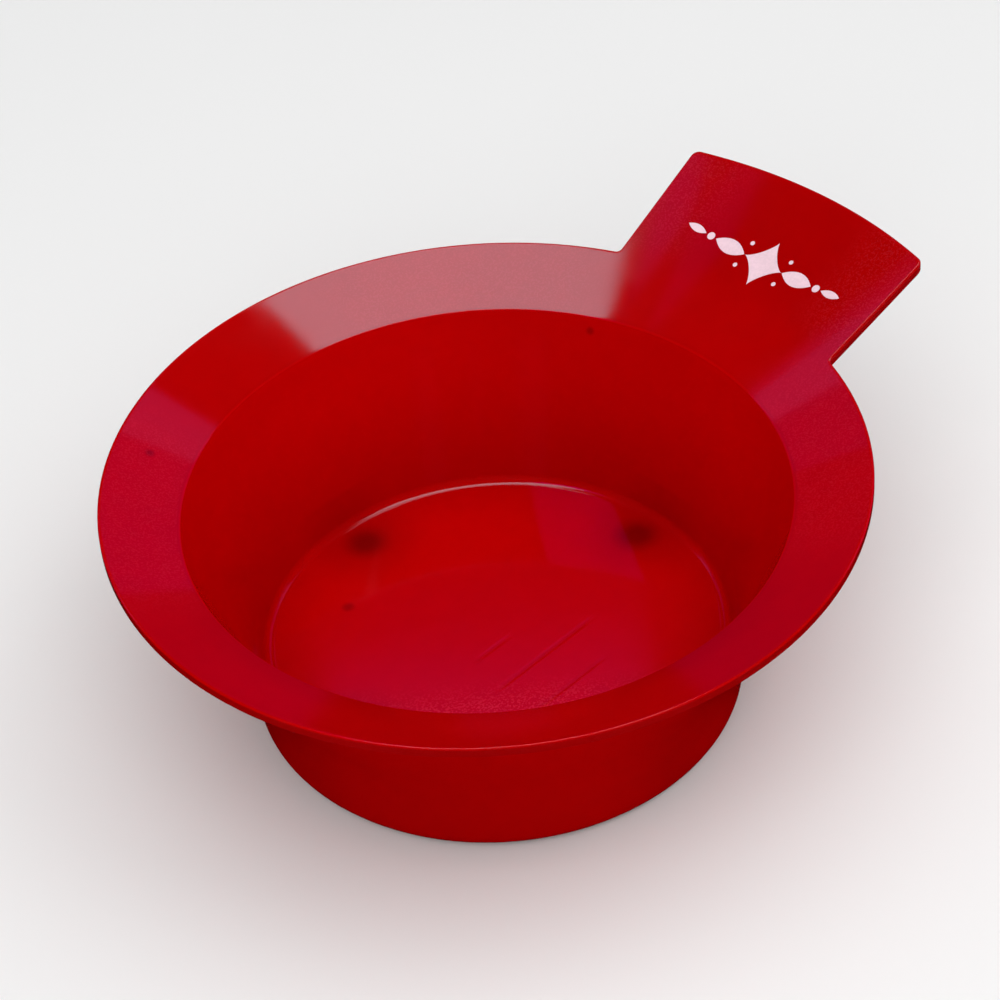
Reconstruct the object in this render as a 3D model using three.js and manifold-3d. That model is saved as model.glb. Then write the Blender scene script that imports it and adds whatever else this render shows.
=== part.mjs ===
// Hair color bowl: a one-piece plastic mixing bowl with a conical rim flange, a wide tab handle that
// continues the flange, and a hollow foot skirt that holds four rubber feet.
// Units are millimetres. +Z is up, the feet rest on z = 0 and the handle points along +X.

import * as THREE from 'three';
import { mergeVertices } from 'three/addons/utils/BufferGeometryUtils.js';
import Module from 'manifold-3d';

const wasm = await Module();
wasm.setup();

// ---- Driving dimensions -------------------------------------------------------------------------

const RIM_RADIUS = 72.5;        // outer edge of the rim flange
const RIM_HEIGHT = 51.8;        // top edge of the rim above the table
const MOUTH_RADIUS = 57.6;      // corner where the flange meets the inner wall
const FLANGE_RISE = 0.4;        // height gained per millimetre of radius on the flange and the tab
const CAVITY_DEPTH = 40;        // rim edge down to the floor of the bowl
const FLOOR_RADIUS = 44.8;      // inner wall meets the floor
const WALL = 2.1;               // thickness of flange, wall and floor

const SKIRT_RADIUS = 47.5;      // outside of the foot skirt
const SKIRT_INNER_TOP = 44.1;   // inside of the skirt at the floor
const SKIRT_INNER_FOOT = 44.4;  // inside of the skirt at its lower edge, opened by draft
const SKIRT_GAP = 0.8;          // lower edge of the skirt above the table

const TAB_TIP_RADIUS = 97.3;    // end of the tab, an arc about the bowl's axis
const TAB_ROOT_HALF = 27.9;     // half width of the tab where it leaves the rim
const TAB_FAN = 4.8;            // degrees each side of the tab opens outwards
const TAB_CORNER = 1.8;         // rounding of the tab's two outer corners
const TAB_ROOT_FILLET = 1.2;    // rounding where the tab meets the rim

const FOOT_CIRCLE = 39.5;       // the four feet stand on this radius
const FOOT_RADIUS = 3.8;
const FOOT_CHAMFER = 0.8;
const FIT_GAP = 0.3;            // clearance between a foot and its socket
const SOCKET_WALL = 1.3;
const SOCKET_FOOT = 4.2;        // height of the socket's lower end above the table
const SOCKET_POCKET = 0.4;      // how far the socket bore goes into the floor

const RIB_PITCH = 9.7;          // spacing of the ribs under the floor
const RIB_COUNT = 5;
const RIB_WIDTH = 0.9;
const RIB_DEPTH = 1.2;
const RIB_REACH = 32;           // the ribs end inside this radius

const MOUTH_ROUNDING = 0.6;
const FLOOR_FILLET = 1.5;
const FLANGE_FILLET = 2.5;      // under the flange, against the outer wall
const SKIRT_BLEND = 40;         // large soft curve from the sloping wall to the upright skirt
const SKIRT_ROUNDING = 3;       // outer lower edge of the skirt

const TURN_STEPS = 96;          // facets around the bowl
const FOOT_STEPS = 20;          // facets around a foot and its socket
const OVERLAP = 0.8;            // how far joined features run into the floor before they are united

// ---- Derived dimensions -------------------------------------------------------------------------

const floorTop = RIM_HEIGHT - CAVITY_DEPTH;
const floorUnder = floorTop - WALL;
const fan = THREE.MathUtils.degToRad(TAB_FAN);
const flangeTop = (radius) => RIM_HEIGHT + FLANGE_RISE * (radius - RIM_RADIUS);
const flangeUnder = (radius) => flangeTop(radius) - WALL * Math.hypot(1, FLANGE_RISE);
const axisX = (RIM_RADIUS - TAB_TIP_RADIUS) / 2;   // puts the middle of the whole length at x = 0

// ---- Small geometry helpers ---------------------------------------------------------------------

const point = (x, y) => new THREE.Vector2(x, y);

function arc(center, radius, from, to, steps, clockwise = false) {
  return new THREE.EllipseCurve(center.x, center.y, radius, radius, from, to, clockwise).getPoints(steps);
}

// Where the line a-b meets the line c-d.
function crossing(a, b, c, d) {
  const along = b.clone().sub(a);
  const other = d.clone().sub(c);
  const t = c.clone().sub(a).cross(other) / along.cross(other);
  return a.clone().addScaledVector(along, t);
}

// A polyline whose corners are rounded: each corner is { at, radius, steps }, radius 0 or absent is sharp.
function rounded(corners) {
  const points = [];
  corners.forEach(({ at, radius = 0, steps = 1 }, i) => {
    if (radius === 0) {
      points.push(at);
      return;
    }
    const back = corners[i - 1].at.clone().sub(at).normalize();
    const ahead = corners[i + 1].at.clone().sub(at).normalize();
    const half = Math.acos(back.dot(ahead)) / 2;
    const bisector = back.clone().add(ahead).normalize();
    const center = at.clone().addScaledVector(bisector, radius / Math.sin(half));
    const start = at.clone().addScaledVector(back, radius / Math.tan(half)).sub(center).angle();
    const end = at.clone().addScaledVector(ahead, radius / Math.tan(half)).sub(center).angle();
    points.push(...arc(center, radius, start, end, steps, back.cross(ahead) > 0));
  });
  return points;
}

// Turns a closed (radius, height) profile about +Z; the profile runs counter-clockwise.
function turned(profile, steps, phase = 0) {
  return new THREE.LatheGeometry(profile, steps, phase).rotateX(Math.PI / 2);
}

function toManifold(geometry) {
  const bare = geometry.clone();
  bare.deleteAttribute('normal');
  bare.deleteAttribute('uv');
  const merged = mergeVertices(bare, 1e-4);
  const triangles = [];
  const index = merged.index.array;
  for (let i = 0; i < index.length; i += 3) {
    const [a, b, c] = index.subarray(i, i + 3);
    if (a !== b && b !== c && c !== a) triangles.push(a, b, c);
  }
  return new wasm.Manifold(new wasm.Mesh({
    numProp: 3,
    vertProperties: new Float32Array(merged.attributes.position.array),
    triVerts: new Uint32Array(triangles),
  }));
}

function toGeometry(solid) {
  const { vertProperties, triVerts } = solid.getMesh();
  const geometry = new THREE.BufferGeometry();
  geometry.setAttribute('position', new THREE.BufferAttribute(new Float32Array(vertProperties), 3));
  geometry.setIndex(new THREE.BufferAttribute(new Uint32Array(triVerts), 1));
  geometry.computeVertexNormals();
  return geometry;
}

// ---- Bowl ---------------------------------------------------------------------------------------

// Section of floor, wall and flange. The flange runs on past the rim; the plan outline trims it.
function bowlProfile() {
  const reach = TAB_TIP_RADIUS + 5;
  const mouth = point(MOUTH_RADIUS, flangeTop(MOUTH_RADIUS));
  const floorCorner = point(FLOOR_RADIUS, floorTop);
  const outward = mouth.clone().sub(floorCorner).normalize().rotateAround(point(0, 0), -Math.PI / 2);
  const wallLow = floorCorner.clone().addScaledVector(outward, WALL);
  const wallHigh = mouth.clone().addScaledVector(outward, WALL);
  const flangeInner = point(MOUTH_RADIUS, flangeUnder(MOUTH_RADIUS));
  const flangeOuter = point(reach, flangeUnder(reach));
  const skirtLow = point(SKIRT_RADIUS, SKIRT_GAP);
  const skirtHigh = point(SKIRT_RADIUS, floorTop);
  return rounded([
    { at: point(0, floorUnder) },
    { at: point(SKIRT_INNER_TOP, floorUnder) },
    { at: point(SKIRT_INNER_FOOT, SKIRT_GAP) },
    { at: skirtLow, radius: SKIRT_ROUNDING, steps: 4 },
    { at: crossing(skirtLow, skirtHigh, wallLow, wallHigh), radius: SKIRT_BLEND, steps: 5 },
    { at: crossing(wallLow, wallHigh, flangeInner, flangeOuter), radius: FLANGE_FILLET, steps: 3 },
    { at: flangeOuter },
    { at: point(reach, flangeTop(reach)) },
    { at: mouth, radius: MOUTH_ROUNDING, steps: 3 },
    { at: floorCorner, radius: FLOOR_FILLET, steps: 3 },
    { at: point(0, floorTop) },
  ]);
}

// Plan outline of rim and tab: the rim circle, a small fillet, the fanned side of the tab, a rounded
// corner and the tip arc. Each rounding is a circle tangent to the side line and to one of the arcs.
function planOutline() {
  const side = point(Math.cos(fan), Math.sin(fan));
  const normal = point(-side.y, side.x);
  const offset = normal.dot(point(RIM_RADIUS, TAB_ROOT_HALF));
  const tangentCenter = (fromAxis, fromSide) => {
    const away = offset + fromSide;
    const along = Math.sqrt(fromAxis ** 2 - away ** 2);
    return normal.clone().multiplyScalar(away).addScaledVector(side, along);
  };
  const corner = tangentCenter(TAB_TIP_RADIUS - TAB_CORNER, -TAB_CORNER);
  const root = tangentCenter(RIM_RADIUS + TAB_ROOT_FILLET, TAB_ROOT_FILLET);
  const upperHalf = [
    ...arc(point(0, 0), TAB_TIP_RADIUS, 0, corner.angle(), 8),
    ...arc(corner, TAB_CORNER, corner.angle(), normal.angle(), 5).slice(1),
    ...arc(root, TAB_ROOT_FILLET, normal.angle() + Math.PI, root.angle() + Math.PI, 4, true),
    ...arc(point(0, 0), RIM_RADIUS, root.angle(), Math.PI, 42).slice(1),
  ];
  const lowerHalf = upperHalf.slice(1, -1).reverse().map((p) => point(p.x, -p.y));
  return [...upperHalf, ...lowerHalf];
}

function footPlaces() {
  const at = (degrees) => {
    const angle = THREE.MathUtils.degToRad(degrees);
    return new THREE.Vector3(FOOT_CIRCLE * Math.cos(angle), FOOT_CIRCLE * Math.sin(angle), 0);
  };
  return { handle_side: at(0), left: at(90), far_side: at(180), right: at(270) };
}

// An upright round bar between two heights.
function post(radius, low, high, place) {
  const length = high - low;
  const bar = new THREE.CylinderGeometry(radius, radius, length, FOOT_STEPS).rotateX(Math.PI / 2);
  return toManifold(bar.translate(place.x, place.y, low + length / 2));
}

// A rib under the floor, parallel to the handle.
function rib(offset) {
  const length = 2 * Math.sqrt(RIB_REACH ** 2 - offset ** 2);
  const box = new THREE.BoxGeometry(length, RIB_WIDTH, RIB_DEPTH + OVERLAP);
  return toManifold(box.translate(0, offset, floorUnder + (OVERLAP - RIB_DEPTH) / 2));
}

function bowlSolid() {
  const halfFacet = Math.PI / TURN_STEPS;
  const shell = toManifold(turned(bowlProfile(), TURN_STEPS, halfFacet));
  const outline = new THREE.ExtrudeGeometry(new THREE.Shape(planOutline()), {
    depth: 2 * RIM_HEIGHT,
    bevelEnabled: false,
  });
  let solid = shell.intersect(toManifold(outline.translate(0, 0, -RIM_HEIGHT / 2)));
  const bore = FOOT_RADIUS + FIT_GAP;
  for (const place of Object.values(footPlaces())) {
    solid = solid.add(post(bore + SOCKET_WALL, SOCKET_FOOT, floorUnder + OVERLAP, place));
    solid = solid.subtract(post(bore, 0, floorUnder + SOCKET_POCKET, place));
  }
  for (let i = 0; i < RIB_COUNT; i += 1) {
    solid = solid.add(rib((i - (RIB_COUNT - 1) / 2) * RIB_PITCH));
  }
  return solid;
}

// ---- Feet ---------------------------------------------------------------------------------------

// A rubber plug that stands on the table and ends just under the top of its socket.
function footGeometry() {
  const top = floorUnder + SOCKET_POCKET - FIT_GAP;
  return turned(rounded([
    { at: point(0, 0) },
    { at: point(FOOT_RADIUS, 0), radius: FOOT_CHAMFER, steps: 3 },
    { at: point(FOOT_RADIUS, top), radius: FOOT_CHAMFER / 2, steps: 1 },
    { at: point(0, top) },
  ]), FOOT_STEPS);
}

// ---- Assembly -----------------------------------------------------------------------------------

const redPlastic = new THREE.MeshStandardMaterial({ color: 0xa80008, roughness: 0.34, metalness: 0 });
const darkRubber = new THREE.MeshStandardMaterial({ color: 0x1c1a1a, roughness: 0.8, metalness: 0 });

const assembly = new THREE.Group();
assembly.position.x = axisX;

const bowl = new THREE.Mesh(toGeometry(bowlSolid()), redPlastic);
bowl.name = 'bowl';
assembly.add(bowl);

for (const [name, place] of Object.entries(footPlaces())) {
  const foot = new THREE.Mesh(toGeometry(toManifold(footGeometry())), darkRubber.clone());
  foot.name = `foot_${name}`;
  foot.position.copy(place);
  assembly.add(foot);
}

export default assembly;
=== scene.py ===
import math

import bmesh
import bpy
import numpy as np
from mathutils import Matrix, Vector


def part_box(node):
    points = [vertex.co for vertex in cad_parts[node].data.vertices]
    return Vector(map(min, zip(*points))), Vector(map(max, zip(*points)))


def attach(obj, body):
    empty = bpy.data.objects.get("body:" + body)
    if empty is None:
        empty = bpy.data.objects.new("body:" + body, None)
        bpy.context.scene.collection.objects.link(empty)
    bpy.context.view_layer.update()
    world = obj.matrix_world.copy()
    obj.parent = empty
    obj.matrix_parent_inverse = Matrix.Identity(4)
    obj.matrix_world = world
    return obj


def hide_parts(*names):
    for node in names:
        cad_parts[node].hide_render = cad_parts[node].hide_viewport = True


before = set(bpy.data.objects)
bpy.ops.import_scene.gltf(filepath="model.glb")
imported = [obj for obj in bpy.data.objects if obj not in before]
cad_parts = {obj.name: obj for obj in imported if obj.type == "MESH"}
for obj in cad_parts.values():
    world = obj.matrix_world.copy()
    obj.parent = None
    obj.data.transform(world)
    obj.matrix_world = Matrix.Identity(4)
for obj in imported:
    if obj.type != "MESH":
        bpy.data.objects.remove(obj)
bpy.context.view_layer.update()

MM = 0.001

# ---- Sizes that the frame gives ------------------------------------------------------------------

bowl_low, bowl_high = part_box("bowl")
RIM_RADIUS = (bowl_high.y - bowl_low.y) / 2 / MM
AXIS_X = bowl_low.x + RIM_RADIUS * MM
TAB_TIP_RADIUS = (bowl_high.x - AXIS_X) / MM
SKIRT_GAP = bowl_low.z / MM

# ---- Sizes of the moulding, in millimetres about the bowl's own axis -----------------------------

RIM_HEIGHT = 51.8
MOUTH_RADIUS = 57.6
FLANGE_RISE = 0.4
CAVITY_DEPTH = 40.0
FLOOR_RADIUS = 44.8
WALL = 2.1
SKIRT_RADIUS = 47.5
SKIRT_INNER_TOP = 44.1
SKIRT_INNER_FOOT = 44.4
TAB_ROOT_HALF = 27.9
TAB_FAN = math.radians(4.8)
TAB_CORNER = 1.8
TAB_ROOT_FILLET = 1.2
RIM_STEP = math.radians(1.5)

MOUTH_ROUNDING = 0.6
FLOOR_FILLET = 2.2
FLANGE_FILLET = 2.5
SKIRT_BLEND = 40.0
SKIRT_ROUNDING = 2.7
EDGE_ROUNDING = 0.5
SUPPORT = 0.25              # how far a supporting row of faces lies from a rounding
HUB_RADIUS = 0.4            # the innermost ring of the floor's faces

FOOT_RADIUS = 3.8
FIT_GAP = 0.3
SOCKET_WALL = 1.3
SOCKET_FOOT = 4.2
SOCKET_POCKET = 0.4
BORE = FOOT_RADIUS + FIT_GAP
LEAD_IN = 0.5
SOFT_CORNER = 0.25
JOIN_DEPTH = 0.8            # how far posts and ribs reach into the floor
SOCKET_STEPS = 64
RIB_PITCH = 9.7
RIB_COUNT = 5
RIB_WIDTH = 0.9
RIB_DEPTH = 1.2
RIB_REACH = 32.0

FLOOR_TOP = RIM_HEIGHT - CAVITY_DEPTH
FLOOR_UNDER = FLOOR_TOP - WALL
FEET = ("foot_handle_side", "foot_left", "foot_far_side", "foot_right")


def flange_top(radius):
    return RIM_HEIGHT + FLANGE_RISE * (radius - RIM_RADIUS)


def flange_under(radius):
    return flange_top(radius) - WALL * math.hypot(1, FLANGE_RISE)


# ---- Plan and section helpers --------------------------------------------------------------------


def unit(v):
    return v / np.linalg.norm(v)


def direction(angle):
    return np.array((math.cos(angle), math.sin(angle)))


def crossing(a, b, c, d):
    """Where the line a-b meets the line c-d."""
    u, w = b - a, d - c
    t = ((c - a)[0] * w[1] - (c - a)[1] * w[0]) / (u[0] * w[1] - u[1] * w[0])
    return a + t * u


def corner_arc(before, at, after, radius, steps):
    """Points of the arc that rounds the corner at."""
    back, ahead = unit(before - at), unit(after - at)
    half = math.acos(float(back @ ahead)) / 2
    center = at + unit(back + ahead) * radius / math.sin(half)
    start = at + back * radius / math.tan(half) - center
    end = at + ahead * radius / math.tan(half) - center
    a0 = math.atan2(start[1], start[0])
    turn = math.atan2(end[1], end[0]) - a0
    turn = (turn + math.pi) % (2 * math.pi) - math.pi
    angles = a0 + turn * np.linspace(0, 1, steps + 1)
    return [center + radius * direction(a) for a in angles]


def section(corners):
    """A polyline through corners: each is a point, its rounding's radius and steps, and the rows in the leg
    before it, with a row close to each end of the leg to hold the shading."""
    points = []
    for i, (at, radius, steps, rows) in enumerate(corners):
        at = np.array(at, float)
        if radius:
            before, after = (np.array(corners[k][0], float) for k in (i - 1, i + 1))
            here = corner_arc(before, at, after, radius, steps)
        else:
            here = [at]
        if points:
            start, end = points[-1], here[0]
            length = np.linalg.norm(end - start)
            edge = min(SUPPORT, length / 6)
            inner = np.linspace(edge, length - edge, rows + 1) if rows else []
            points += [start + (end - start) * s / length for s in inner]
        points += here
    return points


def plan_outline():
    """Points and outward normals of rim and tab, anticlockwise from the middle of the tip."""
    side = direction(TAB_FAN)
    normal = np.array((-side[1], side[0]))
    offset = normal @ np.array((RIM_RADIUS, TAB_ROOT_HALF))

    def tangent(from_axis, from_side):
        away = offset + from_side
        return normal * away + side * math.sqrt(from_axis**2 - away**2)

    corner = tangent(TAB_TIP_RADIUS - TAB_CORNER, -TAB_CORNER)
    root = tangent(RIM_RADIUS + TAB_ROOT_FILLET, TAB_ROOT_FILLET)
    a_corner = math.atan2(corner[1], corner[0])
    a_root = math.atan2(root[1], root[0])
    a_normal = math.atan2(normal[1], normal[0])
    half = []
    for d in map(direction, np.linspace(0, a_corner, 19)):
        half.append((TAB_TIP_RADIUS * d, d))
    for d in map(direction, np.linspace(a_corner, a_normal, 11)[1:]):
        half.append((corner + TAB_CORNER * d, d))
    start = corner + TAB_CORNER * normal
    end = root - TAB_ROOT_FILLET * normal
    for t in np.linspace(0, 1, 17)[1:-1]:
        half.append((start + (end - start) * t, normal))
    for d in map(direction, np.linspace(a_normal, a_root, 8)):
        half.append((root - TAB_ROOT_FILLET * d, d))
    steps = round((math.pi - a_root) / RIM_STEP)
    for d in map(direction, np.linspace(a_root, math.pi, steps + 1)[1:]):
        half.append((RIM_RADIUS * d, d))
    flip = np.array((1, -1))
    return half + [(p * flip, n * flip) for p, n in half[-2:0:-1]]


def new_object(name, verts, faces):
    mesh = bpy.data.meshes.new(name)
    mesh.from_pydata([tuple(v) for v in verts], [], faces)
    mesh.validate()
    obj = bpy.data.objects.new(name, mesh)
    bpy.context.scene.collection.objects.link(obj)
    return obj


def place(points):
    """Millimetres about the bowl's axis to metres in the row frame."""
    points = np.array(points, float) * MM
    points[:, 0] += AXIS_X
    return points


def smooth(obj, angle):
    mesh = obj.data
    mesh.shade_smooth()
    mesh.set_sharp_from_angle(angle=math.radians(angle))


# ---- Bowl ----------------------------------------------------------------------------------------


def bowl_sections():
    """The turned part of the section: inside from the middle of the floor to the flange's top face,
    then outside from the flange's underside to the middle of the floor's underside."""
    mouth = np.array((MOUTH_RADIUS, flange_top(MOUTH_RADIUS)))
    floor_corner = np.array((FLOOR_RADIUS, FLOOR_TOP))
    up = unit(mouth - floor_corner)
    outward = np.array((up[1], -up[0]))
    low, high = floor_corner + outward * WALL, mouth + outward * WALL
    under_a = np.array((MOUTH_RADIUS, flange_under(MOUTH_RADIUS)))
    under_b = np.array((RIM_RADIUS, flange_under(RIM_RADIUS)))
    armpit = crossing(low, high, under_a, under_b)
    skirt_low = np.array((SKIRT_RADIUS, SKIRT_GAP))
    skirt_high = np.array((SKIRT_RADIUS, FLOOR_TOP))
    knee = crossing(skirt_low, skirt_high, low, high)
    outer_flange = np.array((RIM_RADIUS, flange_top(RIM_RADIUS)))
    inside = section([
        ((HUB_RADIUS, FLOOR_TOP), 0, 0, 0),
        (floor_corner, FLOOR_FILLET, 10, 14),
        (mouth, MOUTH_ROUNDING, 8, 14),
        (outer_flange, 0, 0, 0),
    ])[:-1]
    outside = section([
        (under_b, 0, 0, 0),
        (armpit, FLANGE_FILLET, 8, 0),
        (knee, SKIRT_BLEND, 10, 6),
        (skirt_low, SKIRT_ROUNDING, 8, 2),
        ((SKIRT_INNER_FOOT, SKIRT_GAP), 0.12, 2, 0),
        ((SKIRT_INNER_TOP, FLOOR_UNDER), 0.3, 3, 3),
        ((HUB_RADIUS, FLOOR_UNDER), 0, 0, 6),
    ])[1:]
    return inside, outside


# Rows of faces from the turned part to the rim's rounded edge and back, as shares of the way.
TOP_ROWS = (0.02, 0.12, 0.24, 0.36, 0.48, 0.6, 0.72, 0.84, 0.95, 0.99)
UNDER_ROWS = (0.02, 0.15, 0.4, 0.65, 0.88, 0.98)
EDGE_POINTS = 6


def bowl_mesh():
    """One closed skin. Each place on the outline has a column of points: from the floor's middle up the
    inside, out over the flange or the tab, round its edge and back down the outside."""
    inside, outside = bowl_sections()
    outline = plan_outline()
    columns = []
    for p, n in outline:
        d = unit(p)
        column = [(*(d * r), z) for r, z in inside]
        start = d * inside[-1][0]
        inset = p - n * EDGE_ROUNDING
        for s in TOP_ROWS:
            q = start + (inset - start) * s
            column.append((*q, flange_top(np.hypot(*q))))
        for a in np.linspace(0, math.pi / 2, EDGE_POINTS):
            q = inset + n * EDGE_ROUNDING * math.sin(a)
            column.append((*q, flange_top(np.hypot(*q)) - EDGE_ROUNDING * (1 - math.cos(a))))
        for a in np.linspace(math.pi / 2, 0, EDGE_POINTS):
            q = inset + n * EDGE_ROUNDING * math.sin(a)
            column.append((*q, flange_under(np.hypot(*q)) + EDGE_ROUNDING * (1 - math.cos(a))))
        end = d * outside[0][0]
        for s in UNDER_ROWS:
            q = inset + (end - inset) * s
            column.append((*q, flange_under(np.hypot(*q))))
        column += [(*(d * r), z) for r, z in outside]
        columns.append(column)
    rows = len(columns[0])
    count = len(columns)
    verts = [v for column in columns for v in column]
    faces = []
    for j in range(count):
        k = (j + 1) % count
        for i in range(rows - 1):
            faces.append((j * rows + i, k * rows + i, k * rows + i + 1, j * rows + i + 1))
    top_middle, low_middle = len(verts), len(verts) + 1
    verts += [(0, 0, FLOOR_TOP), (0, 0, FLOOR_UNDER)]
    for j in range(count):
        k = (j + 1) % count
        faces.append((top_middle, k * rows, j * rows))
        faces.append((low_middle, j * rows + rows - 1, k * rows + rows - 1))
    return new_object("tint_bowl", place(verts), faces)


def lathe(profile, at, steps):
    """A closed solid turned about the upright line through at; the profile starts and ends on it."""
    verts = [(at[0], at[1], profile[0][1]), (at[0], at[1], profile[-1][1])]
    ring = profile[1:-1]
    for s in range(steps):
        a = 2 * math.pi * s / steps
        verts += [(at[0] + r * math.cos(a), at[1] + r * math.sin(a), z) for r, z in ring]
    n = len(ring)
    faces = []
    for s in range(steps):
        here, there = 2 + s * n, 2 + (s + 1) % steps * n
        faces.append((0, there, here))
        faces.append((1, here + n - 1, there + n - 1))
        faces += [(here + i, there + i, there + i + 1, here + i + 1) for i in range(n - 1)]
    return verts, faces


def merged(name, solids):
    """One object from several solids, each its points and faces."""
    verts, faces = [], []
    for v, f in solids:
        faces += [tuple(i + len(verts) for i in face) for face in f]
        verts += v
    return new_object(name, place(verts), faces)


def rib(offset):
    """A low bar across the floor's underside."""
    length = math.sqrt(RIB_REACH**2 - offset**2)
    low, high, half = FLOOR_UNDER - RIB_DEPTH, FLOOR_UNDER + JOIN_DEPTH, RIB_WIDTH / 2
    ring = [(-half, high), (-half, low + SOFT_CORNER), (-half + SOFT_CORNER, low)]
    ring += [(-y, z) for y, z in ring[::-1]]
    verts = [(x, offset + y, z) for x in (-length, length) for y, z in ring]
    n = len(ring)
    faces = [(i, (i + 1) % n, (i + 1) % n + n, i + n) for i in range(n)]
    return verts, faces + [tuple(range(n))[::-1], tuple(range(n, 2 * n))]


def fix_normals(obj):
    work = bmesh.new()
    work.from_mesh(obj.data)
    bmesh.ops.recalc_face_normals(work, faces=work.faces)
    work.to_mesh(obj.data)
    work.free()


def combine(obj, other, operation):
    """Adds the other solid to the object or cuts it away, and removes the other."""
    fix_normals(other)
    modifier = obj.modifiers.new(operation, "BOOLEAN")
    modifier.operation = operation
    modifier.solver = "EXACT"
    modifier.object = other
    bpy.context.view_layer.update()
    result = bpy.data.meshes.new_from_object(obj.evaluated_get(bpy.context.evaluated_depsgraph_get()))
    obj.modifiers.clear()
    obj.data = result
    bpy.data.objects.remove(other)


def foot_place(node):
    """The foot's axis, in millimetres about the bowl's."""
    low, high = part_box(node)
    return (((low.x + high.x) / 2 - AXIS_X) / MM, (low.y + high.y) / 2 / MM)


def socket_post(at):
    """The boss under the floor that holds a foot."""
    outer, top = BORE + SOCKET_WALL, FLOOR_UNDER + JOIN_DEPTH
    profile = [(0, SOCKET_FOOT), (BORE + SOFT_CORNER, SOCKET_FOOT), (outer - SOFT_CORNER, SOCKET_FOOT)]
    profile += [(outer, SOCKET_FOOT + SOFT_CORNER), (outer, top), (0, top)]
    return lathe(profile, at, SOCKET_STEPS)


def socket_bore(at):
    """The hole in the boss, with a lead-in at its mouth."""
    mouth, below, top = BORE + LEAD_IN, SOCKET_FOOT - 3.2, FLOOR_UNDER + SOCKET_POCKET
    profile = [(0, below), (mouth, below), (mouth, SOCKET_FOOT - 0.2)]
    profile += [(BORE, SOCKET_FOOT + 0.3), (BORE, top), (0, top)]
    return lathe(profile, at, SOCKET_STEPS)


bowl = bowl_mesh()
fix_normals(bowl)
posts = [socket_post(foot_place(node)) for node in FEET]
bores = [socket_bore(foot_place(node)) for node in FEET]
ribs = [rib((i - (RIB_COUNT - 1) / 2) * RIB_PITCH) for i in range(RIB_COUNT)]
combine(bowl, merged("posts", posts + ribs), "UNION")
combine(bowl, merged("bores", bores), "DIFFERENCE")
bowl.data.name = "tint_bowl"
smooth(bowl, 35)
weighted = bowl.modifiers.new("even_shading", "WEIGHTED_NORMAL")
weighted.keep_sharp = True

# ---- Feet ----------------------------------------------------------------------------------------


def foot(node):
    """A turned rubber plug with a shallow groove above its sole."""
    low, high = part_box(node)
    r = (high.x - low.x) / 2 / MM
    base, top = low.z / MM, high.z / MM
    sole, crown, groove = 0.8, 0.35, 0.12
    profile = [(0, base)]
    for a in np.linspace(0, math.pi / 2, 7):
        profile.append((r - sole + sole * math.sin(a), base + sole - sole * math.cos(a)))
    profile += [(r, base + 2.2), (r - groove, base + 2.35), (r - groove, base + 2.75), (r, base + 2.9)]
    for a in np.linspace(0, math.pi / 2, 5):
        profile.append((r - crown + crown * math.cos(a), top - crown + crown * math.sin(a)))
    profile.append((0, top))
    piece = merged(node + "_plug", [lathe(profile, foot_place(node), 56)])
    fix_normals(piece)
    smooth(piece, 40)
    return piece


# ---- Ornament printed on the tab -----------------------------------------------------------------

PRINT_RADIUS = 79.2     # middle of the ornament, from the bowl's axis
PRINT_LIFT = 0.2        # the row of shapes, outward from that
PRINT_PROUD = 0.03
PRINT_SUNK = -0.05


def glyph(center, outline, steps, rings):
    """One inked shape: outline(angle) is its edge about center; across and outward on the tab."""
    def lay(x, y, lift):
        across, out = center[0] + x, PRINT_RADIUS + center[1] + y
        return (out, -across, flange_top(math.hypot(across, out)) + lift)

    verts, faces = [], []
    edge = [outline(2 * math.pi * s / steps) for s in range(steps)]
    for lift in (PRINT_PROUD, PRINT_SUNK):
        verts.append(lay(0, 0, lift))
        for k in range(1, rings + 1):
            verts += [lay(x * k / rings, y * k / rings, lift) for x, y in edge]
    layer = 1 + rings * steps
    for base in (0, layer):
        for s in range(steps):
            t = (s + 1) % steps
            faces.append((base, base + 1 + s, base + 1 + t))
            for k in range(rings - 1):
                a, b = base + 1 + k * steps, base + 1 + (k + 1) * steps
                faces.append((a + s, b + s, b + t, a + t))
    rim_top, rim_low = 1 + (rings - 1) * steps, layer + 1 + (rings - 1) * steps
    for s in range(steps):
        t = (s + 1) % steps
        faces.append((rim_top + s, rim_low + s, rim_low + t, rim_top + t))
    return verts, faces


def star(reach_x, reach_y, pinch):
    """Four points joined by hollow curves."""
    def edge(a):
        c, s = abs(math.cos(a)) ** pinch, abs(math.sin(a)) ** pinch
        return (math.copysign(c, math.cos(a)) * reach_x, math.copysign(s, math.sin(a)) * reach_y)
    return edge


def leaf(half_length, half_width):
    """Pointed at both ends."""
    def edge(a):
        return (math.cos(a) * half_length, math.copysign(math.sin(a) ** 2, math.sin(a)) * half_width)
    return edge


def ornament():
    """A star between pairs of leaves and beads, with four dots about it."""
    row = [(0, star(4.6, 5.2, 2.6), 96, 8)]
    for s in (-1, 1):
        row.append((s * 8.6, leaf(3.7, 1.6), 64, 5))
        row.append((s * 13.6, star(0.8, 0.8, 1.0), 32, 3))
        row.append((s * 17.2, leaf(2.3, 0.8), 48, 4))
    shapes = [((x, PRINT_LIFT), *shape) for x, *shape in row]
    for x in (-5.0, 5.0):
        for y in (2.9, -2.5):
            shapes.append(((x, y), star(0.45, 0.45, 1.0), 24, 2))
    return merged("tab_print", [glyph(*shape) for shape in shapes])


print_piece = ornament()
fix_normals(print_piece)
smooth(print_piece, 35)

# ---- Materials -----------------------------------------------------------------------------------


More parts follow.
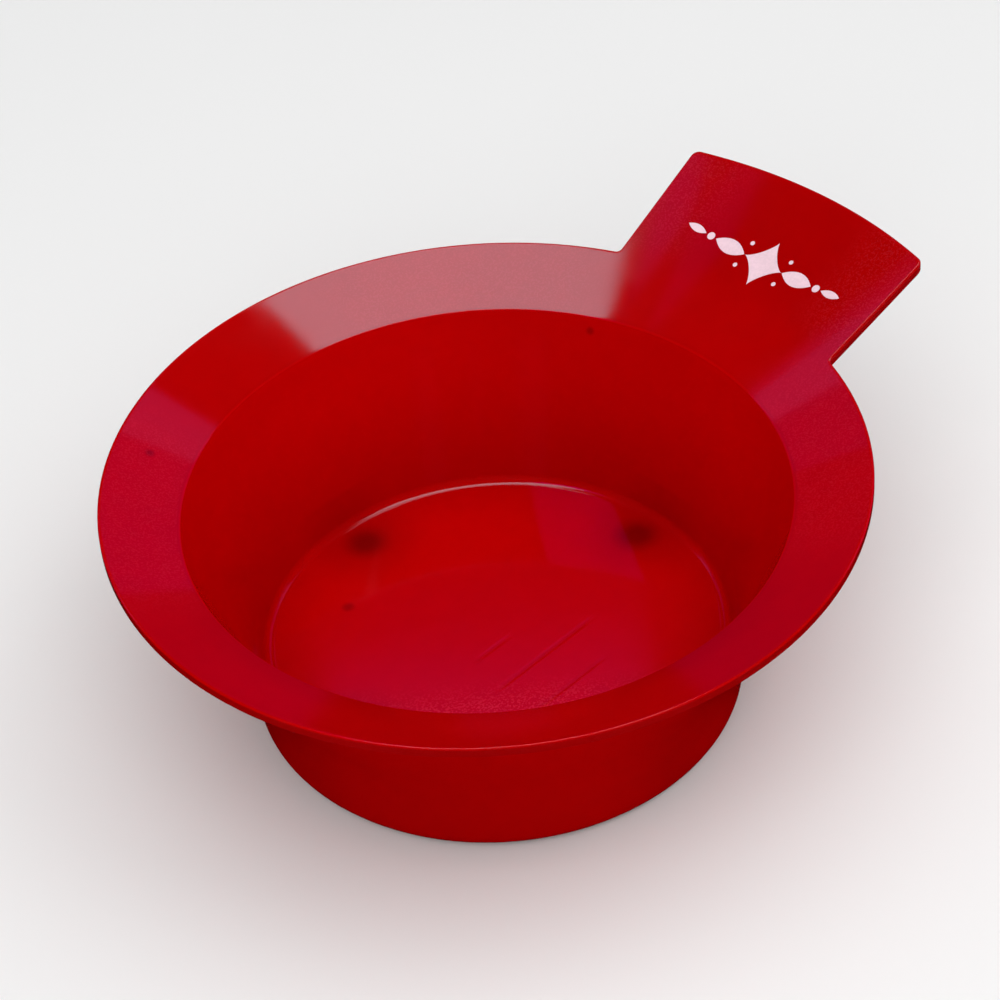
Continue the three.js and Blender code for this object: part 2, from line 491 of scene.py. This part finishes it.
class Nodes:
    """Small helper that builds one material's node tree."""

    def __init__(self, name):
        self.material = bpy.data.materials.new(name)
        self.material.use_nodes = True
        self.tree = self.material.node_tree
        self.shader = self.tree.nodes["Principled BSDF"]
        self.coord = self.tree.nodes.new("ShaderNodeTexCoord").outputs["Object"]

    def link(self, value, socket):
        if isinstance(value, bpy.types.NodeSocket):
            self.tree.links.new(value, socket)
        else:
            socket.default_value = value

    def math(self, operation, *values):
        node = self.tree.nodes.new("ShaderNodeMath")
        node.operation = operation
        for value, socket in zip(values, node.inputs):
            self.link(value, socket)
        return node.outputs[0]

    def times(self, a, b):
        return self.math("MULTIPLY", a, b)

    def off(self, value, middle):
        """How far value is from middle, either way."""
        return self.math("ABSOLUTE", self.math("SUBTRACT", value, middle))

    def vector(self, operation, *values):
        node = self.tree.nodes.new("ShaderNodeVectorMath")
        node.operation = operation
        for value, socket in zip(values, node.inputs):
            self.link(value, socket)
        return node.outputs["Value" if operation in ("LENGTH", "DISTANCE") else "Vector"]

    def split(self, vector):
        node = self.tree.nodes.new("ShaderNodeSeparateXYZ")
        self.link(vector, node.inputs[0])
        return node.outputs

    def ramp(self, value, low, high, out_low, out_high):
        node = self.tree.nodes.new("ShaderNodeMapRange")
        node.interpolation_type = "SMOOTHSTEP"
        names = ("Value", "From Min", "From Max", "To Min", "To Max")
        for v, name in zip((value, low, high, out_low, out_high), names):
            self.link(v, node.inputs[name])
        return node.outputs[0]

    def noise(self, scale, detail, vector=None):
        node = self.tree.nodes.new("ShaderNodeTexNoise")
        node.inputs["Scale"].default_value = scale
        node.inputs["Detail"].default_value = detail
        self.link(vector or self.coord, node.inputs["Vector"])
        return node.outputs["Fac"]

    def blend(self, kind, color, other):
        node = self.tree.nodes.new("ShaderNodeMix")
        node.data_type = "RGBA"
        node.blend_type = kind
        node.inputs["Factor"].default_value = 1.0
        colors = [s for s in node.inputs if s.type == "RGBA"]
        self.link(color, colors[0])
        self.link(other, colors[1])
        return next(s for s in node.outputs if s.type == "RGBA")

    def shade(self, color, factor):
        """The colour times a factor that varies over the surface."""
        return self.blend("MULTIPLY", color, factor)

    def turned(self, vector, degrees):
        """The vector turned about Z."""
        node = self.tree.nodes.new("ShaderNodeVectorRotate")
        node.rotation_type = "Z_AXIS"
        node.inputs["Angle"].default_value = math.radians(degrees)
        self.link(vector, node.inputs["Vector"])
        return node.outputs["Vector"]

    def bump(self, height, distance, strength, normal=None):
        node = self.tree.nodes.new("ShaderNodeBump")
        node.inputs["Strength"].default_value = strength
        node.inputs["Distance"].default_value = distance
        self.link(height, node.inputs["Height"])
        if normal:
            self.link(normal, node.inputs["Normal"])
        return node.outputs["Normal"]

    def set(self, **values):
        for name, value in values.items():
            self.link(value, self.shader.inputs[name.replace("_", " ")])


# Places and sizes in the material are in metres about the bowl's own axis.
RED = (0.43, 0.0, 0.0004, 1)
# Colour of the painted glints of reflection added to the base colour.
PAINTED_GLINT = (0.065, 0.006, 0.0095, 1)
GRAIN_SCALE = 2500
FOOT_SHADE_CIRCLE = 0.0382        # centre of the painted shade where the dark feet show through the floor: radius, and degrees about the axis
FOOT_SHADE_TURN = 2.5
# Fine lines in the floor, grooved in the bump and darkened by painted shade: each one's y, and where it
# starts and ends along x.
FLOOR_MARKS = ((-0.0028, -0.0064, -0.0013), (-0.0115, -0.0100, 0.0130), (-0.0208, -0.0092, 0.0065))
# Dark specks in the plastic, on the flange, the floor and the wall: place and radius.
SPECKS = (
    ((-0.0345, 0.0559, 0.0491), 0.0009),
    ((-0.0140, 0.0272, 0.0118), 0.0012),
    ((0.0521, 0.0220, 0.0432), 0.0008),
)
# From the bowl's axis level towards whoever looks at the photograph.
FORWARD = Vector((-0.678, -0.735, 0))
WALL_SLANT = 0.376          # the cavity wall's radius per height
CAVITY_EDGE = 0.0404        # what the wall's radius is at no height; inside it the colour carries more painted light
FLANGE_FOOT = 0.0455        # everything above it is flange, tab or the lip of the mouth
# The next values place the painted glints on the rim and bound the floor where glints and floor lines go.
GLINT_FOOT = 0.0461
GLINT_ANGLE = math.radians(48)
FLOOR_MASK_EDGE = 0.0445


def paint_foot_shade(n, flat, z):
    """Painted shade of the dark feet through floor and skirt, with a wider shadow; the plastic bends the
    view of them.
    """
    folded = n.vector("ABSOLUTE", n.turned(flat, FOOT_SHADE_TURN))
    along_x = n.vector("DISTANCE", folded, (FOOT_SHADE_CIRCLE, 0, 0))
    along_y = n.vector("DISTANCE", folded, (0, FOOT_SHADE_CIRCLE, 0))
    near = n.math("MINIMUM", along_x, along_y)
    # painted shade of each foot, inside a wider painted shadow
    foot_shade = n.times(n.ramp(near, 0.001, 0.0062, 0.5, 1), n.ramp(near, 0.003, 0.0148, 0.8, 1))
    return n.math("MAXIMUM", foot_shade, n.ramp(z, 0.013, 0.019, 0, 1))


def painted_cavity_light(n, inner, radius, z):
    """Painted light and shade in the colour: more in the floor and up the cavity wall, less low outside and
    in the tab.
    """
    floor_painted_light = n.ramp(radius, 0.032, 0.045, 1.14, 1.03)
    wall_painted_light = n.ramp(z, 0.012, 0.038, 0.93, 1.22)
    painted_light = n.ramp(z, 0.0119, 0.0135, floor_painted_light, wall_painted_light)
    outer_painted_light = n.ramp(z, 0.002, 0.024, 0.93, 1.0)
    painted_light = n.math("ADD", n.times(inner, n.math("SUBTRACT", painted_light, outer_painted_light)), outer_painted_light)
    return n.times(painted_light, n.ramp(radius, 0.069, 0.078, 1, 0.905))


def painted_flange_shade(n, painted_light, forward, radius, z):
    """Painted shade on the flange: darker beside the mouth, most of all towards the viewer, and at its edge.
    """
    beside = n.times(n.ramp(radius, 0.058, 0.065, 0.10, 0), n.ramp(forward, 0.015, 0.045, 0, 1))
    mouth_shade = n.times(beside, n.math("GREATER_THAN", z, FLANGE_FOOT))
    painted_light = n.times(painted_light, n.math("SUBTRACT", 1.0, mouth_shade))
    # painted shade in a ring at the mouth's lip
    lip_shade = n.times(n.ramp(radius, 0.0578, 0.0588, 0.09, 0), n.math("GREATER_THAN", z, FLANGE_FOOT))
    painted_light = n.times(painted_light, n.math("SUBTRACT", 1.0, lip_shade))
    depth = n.math("SUBTRACT", z, n.times(radius, FLANGE_RISE))
    # painted shade on the side face of the rim's edge
    edge = n.times(n.ramp(depth, 0.0206, 0.0210, 0, 1), n.ramp(depth, 0.0221, 0.0226, 1, 0))
    edge = n.times(edge, n.math("GREATER_THAN", radius, 0.062))
    return n.times(painted_light, n.math("SUBTRACT", 1.0, n.times(edge, 0.3)))


def floor_lines(n, x, y, on_floor):
    """Fine straight lines in the floor, along the handle's direction, grooved and darkened by painted shade.
    """
    marks = 0.0
    for at_y, start, end in FLOOR_MARKS:
        across = n.ramp(n.off(y, at_y), 0.0002, 0.0008, 1, 0)
        half = (end - start) / 2
        along = n.ramp(n.off(x, (start + end) / 2), half - 0.002, half + 0.003, 1, 0)
        marks = n.math("ADD", marks, n.times(across, along))
    return n.times(marks, on_floor)


def glint_places(n, x, y, z, radius, forward, on_floor):
    """Where painted glints of reflection go: the tab's sides, stretches of the rim and the near side of the
    floor.
    """
    around = n.math("COSINE", n.times(n.math("SUBTRACT", n.math("ARCTAN2", y, x), GLINT_ANGLE), 4.0))
    on_rim = n.times(n.ramp(around, -0.6, 0.4, 0, 0.6), n.ramp(forward, 0.02, 0.06, 1, 0.25))
    on_rim = n.times(on_rim, n.ramp(radius, 0.072, 0.078, 1, 0))
    on_tab = n.times(n.ramp(n.math("ABSOLUTE", y), 0.010, 0.020, 0, 0.8), n.ramp(radius, 0.070, 0.076, 0, 1))
    on_flange = n.times(n.math("MAXIMUM", on_rim, on_tab), n.math("GREATER_THAN", z, GLINT_FOOT))
    return n.math("MAXIMUM", on_flange, n.times(n.ramp(forward, 0.010, 0.036, 0, 4.0), on_floor))


def plastic():
    """Translucent red polypropylene from a finely spark-eroded mould."""
    n = Nodes("red_plastic")
    local = n.vector("SUBTRACT", n.coord, (AXIS_X, 0, 0))
    x, y, z = n.split(local)
    flat = n.vector("MULTIPLY", local, (1, 1, 0))
    radius = n.vector("LENGTH", flat)
    forward = n.math("ADD", n.times(x, FORWARD.x), n.times(y, FORWARD.y))
    slant = n.math("SUBTRACT", radius, n.times(z, WALL_SLANT))
    inner = n.ramp(slant, CAVITY_EDGE, CAVITY_EDGE + 0.0005, 1, 0)
    on_floor = n.math("LESS_THAN", n.off(z, FLOOR_TOP * MM), 0.0003)
    on_floor = n.times(on_floor, n.math("LESS_THAN", radius, FLOOR_MASK_EDGE))

    # painted shade of the feet seen through the floor and skirt
    foot_shade = paint_foot_shade(n, flat, z)
    # painted light in the cavity and floor, with painted shade on the flange
    painted_light = painted_flange_shade(n, painted_cavity_light(n, inner, radius, z), forward, radius, z)
    marks = floor_lines(n, x, y, on_floor)

    # Slow drift of tone, finer clouding in the melt and a few dark specks.
    drift = n.ramp(n.noise(22, 2), 0.3, 0.7, 0.965, 1.03)
    tone = n.times(drift, n.ramp(n.noise(260, 2), 0.3, 0.7, 0.985, 1.015))
    # the floor lines darken the colour here as painted shade
    specks_and_line_shade = n.math("SUBTRACT", 1.0, n.times(marks, 0.07))
    for at, size in SPECKS:
        specks_and_line_shade = n.times(specks_and_line_shade, n.ramp(n.vector("DISTANCE", local, at), size * 0.3, size * 1.5, 0.62, 1))
    # The colour carries painted light and shade of cavity, flange and feet, and painted shade along the
    # floor lines.
    color = n.shade(RED, n.times(n.times(tone, painted_light), n.times(foot_shade, specks_and_line_shade)))

    # The mould's grain breaks up the gloss; painted glints of reflection are added to the colour in set
    # places.
    glinting = glint_places(n, x, y, z, radius, forward, on_floor)
    grain = n.noise(GRAIN_SCALE, 1.0)
    painted_glints = n.times(n.ramp(grain, 0.48, 0.62, 0, 1), glinting)
    n.set(Base_Color=n.blend("ADD", color, n.shade(PAINTED_GLINT, painted_glints)))
    n.set(Roughness=n.ramp(n.noise(140, 3), 0.3, 0.7, 0.06, 0.08))

    # The rounding about the floor takes less gloss at both sides.
    sideways = n.math("SUBTRACT", n.times(x, FORWARD.y), n.times(y, FORWARD.x))
    dull = n.times(n.ramp(n.math("ABSOLUTE", sideways), 0.026, 0.034, 0, 0.9), inner)
    dull = n.times(dull, n.times(n.ramp(z, 0.0119, 0.0122, 0, 1), n.ramp(z, 0.016, 0.018, 1, 0)))
    n.set(Specular_IOR_Level=n.times(n.math("SUBTRACT", 1.0, dull), 0.5))
    normal = n.bump(marks, -0.000008, 1.0)
    n.set(Normal=n.bump(grain, 0.00001, 0.12, normal))
    n.set(IOR=1.46, Subsurface_Weight=0.4, Subsurface_Scale=0.003)
    n.shader.inputs["Subsurface Radius"].default_value = (1.0, 0.06, 0.06)
    return n.material


def rubber():
    """Soft dark rubber, matt and slightly blotched."""
    n = Nodes("dark_rubber")
    specked = n.ramp(n.noise(900, 3), 0.3, 0.7, 0.75, 1.25)
    tone = n.times(specked, n.ramp(n.noise(120, 2), 0.3, 0.7, 0.9, 1.15))
    n.set(Base_Color=n.shade((0.03, 0.028, 0.028, 1), tone))
    n.set(Roughness=n.ramp(n.noise(500, 2), 0.3, 0.7, 0.62, 0.82))
    n.set(Normal=n.bump(n.noise(3500, 3), 0.00004, 0.6))
    return n.material


def ink():
    """Pad-printed white ink, which the red plastic tints a little."""
    n = Nodes("white_ink")
    specked = n.ramp(n.noise(1800, 3), 0.25, 0.75, 0.93, 1.02)
    tone = n.times(specked, n.ramp(n.noise(200, 2), 0.3, 0.7, 0.96, 1.0))
    n.set(Base_Color=n.shade((0.90, 0.64, 0.72, 1), tone))
    n.set(Roughness=n.ramp(n.noise(700, 2), 0.3, 0.7, 0.42, 0.6))
    n.set(Normal=n.bump(n.noise(2600, 2), 0.00001, 0.4))
    return n.material


def pale_floor():
    n = Nodes("pale_floor")
    tone = n.ramp(n.noise(3, 2), 0.3, 0.7, 0.985, 1.0)
    n.set(Base_Color=n.shade((0.9, 0.9, 0.9, 1), tone), Roughness=1.0)
    n.shader.inputs["Specular IOR Level"].default_value = 0.0
    return n.material


def dress(obj, material):
    obj.data.materials.clear()
    obj.data.materials.append(material)


dress(bowl, plastic())
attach(bowl, "root")
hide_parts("bowl")
rubber_material = rubber()
for node in FEET:
    piece = foot(node)
    dress(piece, rubber_material)
    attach(piece, "root")
    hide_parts(node)
dress(print_piece, ink())
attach(print_piece, "root")

# ---- Floor, lights and camera --------------------------------------------------------------------

STUDIO_RADIUS = 4
WORLD_STRENGTH = 0.45
HANDLE_TURN = math.radians(42.69)   # the handle, anticlockwise from the picture's right
RIM_MIDDLE = Vector((AXIS_X, 0, RIM_HEIGHT * MM))
to_row = Matrix.Rotation(-HANDLE_TURN, 3, "Z")

floor_mesh = bmesh.new()
bmesh.ops.create_circle(floor_mesh, cap_ends=True, segments=96, radius=STUDIO_RADIUS)
floor_data = bpy.data.meshes.new("pale_floor")
floor_mesh.to_mesh(floor_data)
floor_mesh.free()
floor = bpy.data.objects.new("pale_floor", floor_data)
bpy.context.scene.collection.objects.link(floor)
dress(floor, pale_floor())
floor.visible_glossy = False

world = bpy.data.worlds.new("studio")
world.use_nodes = True
background = world.node_tree.nodes["Background"]
background.inputs["Color"].default_value = (1, 1, 1, 1)
background.inputs["Strength"].default_value = WORLD_STRENGTH
world.cycles_visibility.glossy = False
bpy.context.scene.world = world
bpy.context.scene.view_settings.view_transform = "Standard"


def area(name, center, across, up, radiance):
    """A rectangle of light about center, with half sides across and up, that shines back at the bowl."""
    data = bpy.data.lights.new(name, "AREA")
    data.shape = "RECTANGLE"
    data.size, data.size_y = 2 * across.length, 2 * up.length
    strongest = max(radiance)
    data.color = [c / strongest for c in radiance]
    data.energy = strongest * math.pi * data.size * data.size_y
    light = bpy.data.objects.new(name, data)
    facing = across.cross(up).normalized()
    if facing.dot(center) < 0:
        across, facing = -across, -facing
    turn = Matrix((across.normalized(), up.normalized(), facing)).transposed()
    light.matrix_world = Matrix.Translation(RIM_MIDDLE + to_row @ center) @ (to_row @ turn).to_4x4()
    bpy.context.scene.collection.objects.link(light)
    light.visible_camera = False
    return light


def mirrored(name, center, across, up, radiance):
    """A panel that only gloss sees; its place and half sides are given as shares of FAR."""
    panel = area(name, center * FAR, across * FAR, up * FAR, radiance)
    panel.visible_diffuse = False
    panel.visible_transmission = False
    panel.visible_volume_scatter = False


def overhead(name, x0, x1, y0, y1, radiance):
    """A level panel over the bowl."""
    center = Vector(((x0 + x1) / 2, (y0 + y1) / 2, 1))
    mirrored(name, center, Vector(((x1 - x0) / 2, 0, 0)), Vector((0, (y1 - y0) / 2, 0)), radiance)


def backdrop(name, x0, x1, z0, z1, radiance):
    """An upright panel behind the bowl."""
    center = Vector(((x0 + x1) / 2, 1, (z0 + z1) / 2))
    mirrored(name, center, Vector(((x1 - x0) / 2, 0, 0)), Vector((0, 0, (z1 - z0) / 2)), radiance)


FAR = 4.0                   # how far off, in metres, the mirrored panels stand
BACKDROP_SIDE = 2.4
BACKDROP_GAP = 0.064        # where the middle strips end

# What the gloss of the moulding mirrors: a soft box overhead with glows beside it, and behind the bowl a
# crimson backdrop with an open middle. Each strip of that is its low, high and inner edge and its light.
overhead("softbox_near", -0.262, 0.307, 0.1, 0.2705, (1.9, 3.9, 4.5))
overhead("softbox_middle", -0.234, 0.307, 0.2705, 0.275, (1.9, 3.9, 4.5))
overhead("softbox_far", -0.15, 0.307, 0.275, 0.42, (1.9, 3.9, 4.5))
overhead("glow_near", -0.28, -0.2, 0.297, 0.345, (0.4, 0.05, 0.5))
overhead("glow_far", -0.345, -0.28, 0.345, 0.41, (0.14, 0.0, 0.17))
overhead("glow_low_near", -0.385, -0.16, -0.1, 0.09, (3.0, 0.0, 1.4))
overhead("glow_low_far", -0.385, -0.245, 0.09, 0.2, (2.6, 0.0, 1.4))
BACKDROP_LEFT = (
    (0.09, 0.4, 0.03, (0.1, 0.0, 0.07)),
    (0.4, 0.55, 0.28, (0.1, 0.0, 0.07)),
    (0.55, 0.7, 0.36, (0.1, 0.0, 0.08)),
    (0.7, 0.87, 0.44, (0.15, 0.01, 0.24)),
    (0.87, 1.04, 0.52, (0.15, 0.01, 0.25)),
    (1.04, 1.3, 0.575, (0.6, 0.12, 0.66)),
    (1.3, 1.38, 0.6, (0.3, 0.02, 0.2)),
)
BACKDROP_RIGHT = (
    (0.09, 0.42, 0.03, (0.3, 0.0, 0.07)),
    (0.42, 0.56, 0.29, (0.4, 0.006, 0.24)),
    (0.56, 0.72, 0.37, (0.4, 0.006, 0.27)),
    (0.72, 0.88, 0.45, (0.4, 0.01, 0.28)),
    (0.88, 1.1, 0.53, (0.4, 0.012, 0.3)),
    (1.1, 1.47, 0.6, (0.6, 0.12, 0.64)),
)
BACKDROP_MIDDLE = (
    (0.88, 0.925, -0.056, (0.3, 0.0, 0.05)),
    (0.925, 0.95, -0.075, (0.8, 0.02, 0.3)),
    (0.95, 1.3, -0.08, (1.0, 0.04, 0.46)),
)
for k, (z0, z1, inner, radiance) in enumerate(BACKDROP_LEFT):
    backdrop("backdrop_left_%d" % k, -BACKDROP_SIDE, -inner, z0, z1, radiance)
for k, (z0, z1, inner, radiance) in enumerate(BACKDROP_RIGHT):
    backdrop("backdrop_right_%d" % k, inner, BACKDROP_SIDE, z0, z1, radiance)
for k, (z0, z1, inner, radiance) in enumerate(BACKDROP_MIDDLE):
    backdrop("backdrop_middle_%d" % k, inner, BACKDROP_GAP, z0, z1, radiance)

# What lights it: large soft panels from over the bowl and from three sides.
# Each is its name, azimuth and height in degrees, size in metres and strength.
SOFT_DISTANCE = 1.2
SOFT_PANELS = (
    ("top", 0, 90, 1.2, 0.95),
    ("front", -95, 45, 1.0, 1.95),
    ("left", 180, 45, 1.0, 0.1),
    ("right", 0, 45, 1.0, 0.97),
)
for name, azimuth, height, size, radiance in SOFT_PANELS:
    a, e = math.radians(azimuth), math.radians(height)
    across = Vector((-math.sin(a), math.cos(a), 0))
    away = Vector((math.cos(e) * math.cos(a), math.cos(e) * math.sin(a), math.sin(e)))
    sides = across * size / 2, away.cross(across) * size / 2
    soft = area("soft_" + name, away * SOFT_DISTANCE, *sides, (radiance,) * 3)
    soft.visible_glossy = False

# The camera, fitted to the photograph's rim, mouth, floor and foot circles.
elevation, roll = math.radians(40.254), math.radians(-4.739)
pan, tilt = math.radians(-0.2546), math.radians(-0.4129)
distance = 9.174 * RIM_RADIUS * MM
camera = bpy.data.objects.new("camera", bpy.data.cameras.new("camera"))
bpy.context.scene.collection.objects.link(camera)
camera.data.sensor_width = 36
camera.data.lens = 128.26
camera.data.clip_end = 20
back = Vector((0, -math.cos(elevation), math.sin(elevation)))
right = Vector((1, 0, 0))
up = back.cross(right)
right, up = math.cos(roll) * right + math.sin(roll) * up, math.cos(roll) * up - math.sin(roll) * right
turn = Matrix((right, up, back)).transposed() @ Matrix.Rotation(pan, 3, "Y") @ Matrix.Rotation(tilt, 3, "X")
camera.matrix_world = Matrix.Translation(RIM_MIDDLE + to_row @ back * distance) @ (to_row @ turn).to_4x4()
bpy.context.scene.camera = camera
